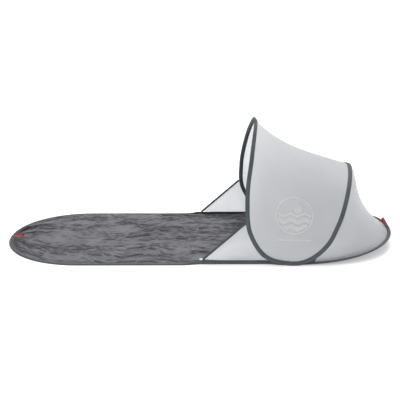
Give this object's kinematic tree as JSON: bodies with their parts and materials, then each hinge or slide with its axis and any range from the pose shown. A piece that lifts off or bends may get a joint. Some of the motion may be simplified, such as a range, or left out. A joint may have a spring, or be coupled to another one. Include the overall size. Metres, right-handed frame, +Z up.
{
  "type": "pop-up beach shelter",
  "caption": "Pop-up beach shelter: long ground mat on a spring hoop, with a small canopy stretched over a saddle-shaped spring hoop to shade the head.",
  "frame": {"origin": "on the ground, at the middle of the mat's length and width", "axes": "+X towards the head end under the canopy, +Y to the left of a person lying on their back with their head at that end, +Z up"},
  "size_m": [2.3988, 0.9188, 0.7817],
  "materials": {
    "mat_cloth": "crinkled matt woven polyester, charcoal",
    "sleeve_cloth": "tight woven polyester sleeve, slate grey",
    "canopy_cloth": "silver-grey coated polyester, soft sheen",
    "binding": "folded binding tape, slate grey",
    "spring_wire": "drawn spring steel",
    "ferrule": "crimped steel tube",
    "webbing": "ribbed red webbing",
    "label": "white satin ribbon, blank"
  },
  "bodies": {
    "shelter": {"floor_middle": "mat_cloth", "ground_sleeve_left": "sleeve_cloth", "ground_sleeve_right": "sleeve_cloth", "ground_wire_left": "spring_wire", "ground_wire_right": "spring_wire", "ground_ferrule": "ferrule", "front_hoop_sleeve": "sleeve_cloth", "front_hoop_wire": "spring_wire", "hoop_ferrule": "ferrule", "canopy": "canopy_cloth", "wing_left": "canopy_cloth", "wing_right": "canopy_cloth", "wing_binding_left": "binding", "wing_binding_right": "binding", "blank_label": "label"},
    "head_section": {"floor_head": "mat_cloth", "ground_sleeve_head": "sleeve_cloth", "ground_wire_head": "spring_wire", "rear_hoop_sleeve": "sleeve_cloth", "rear_hoop_wire": "spring_wire", "rear_panel": "canopy_cloth"},
    "foot_section": {"floor_foot": "mat_cloth", "ground_sleeve_foot": "sleeve_cloth", "ground_wire_foot": "spring_wire"},
    "foot_pull": {"foot_tab": "webbing"},
    "head_pull": {"head_tab": "webbing"}
  },
  "joints": [
    {"name": "head_fold", "type": "hinge", "parent": "shelter", "child": "head_section", "pos_m": [0.52, 0, 0.026], "axis": [0, -1, 0], "range_deg": [0, 45], "stiffness_Nm_per_rad": 2, "deforming": ["canopy"]},
    {"name": "foot_fold", "type": "hinge", "parent": "shelter", "child": "foot_section", "pos_m": [-0.11, 0, 0.008], "axis": [0, 1, 0], "range_deg": [0, 112], "stiffness_Nm_per_rad": 1.5},
    {"name": "foot_tab_flip", "type": "hinge", "parent": "foot_section", "child": "foot_pull", "pos_m": [-1.174, 0, 0.01], "axis": [0, -1, 0], "range_deg": [0, 145]},
    {"name": "head_tab_flip", "type": "hinge", "parent": "head_section", "child": "head_pull", "pos_m": [1.193, 0, 0.0823], "axis": [0, 1, 0], "range_deg": [0, 120]}
  ]
}
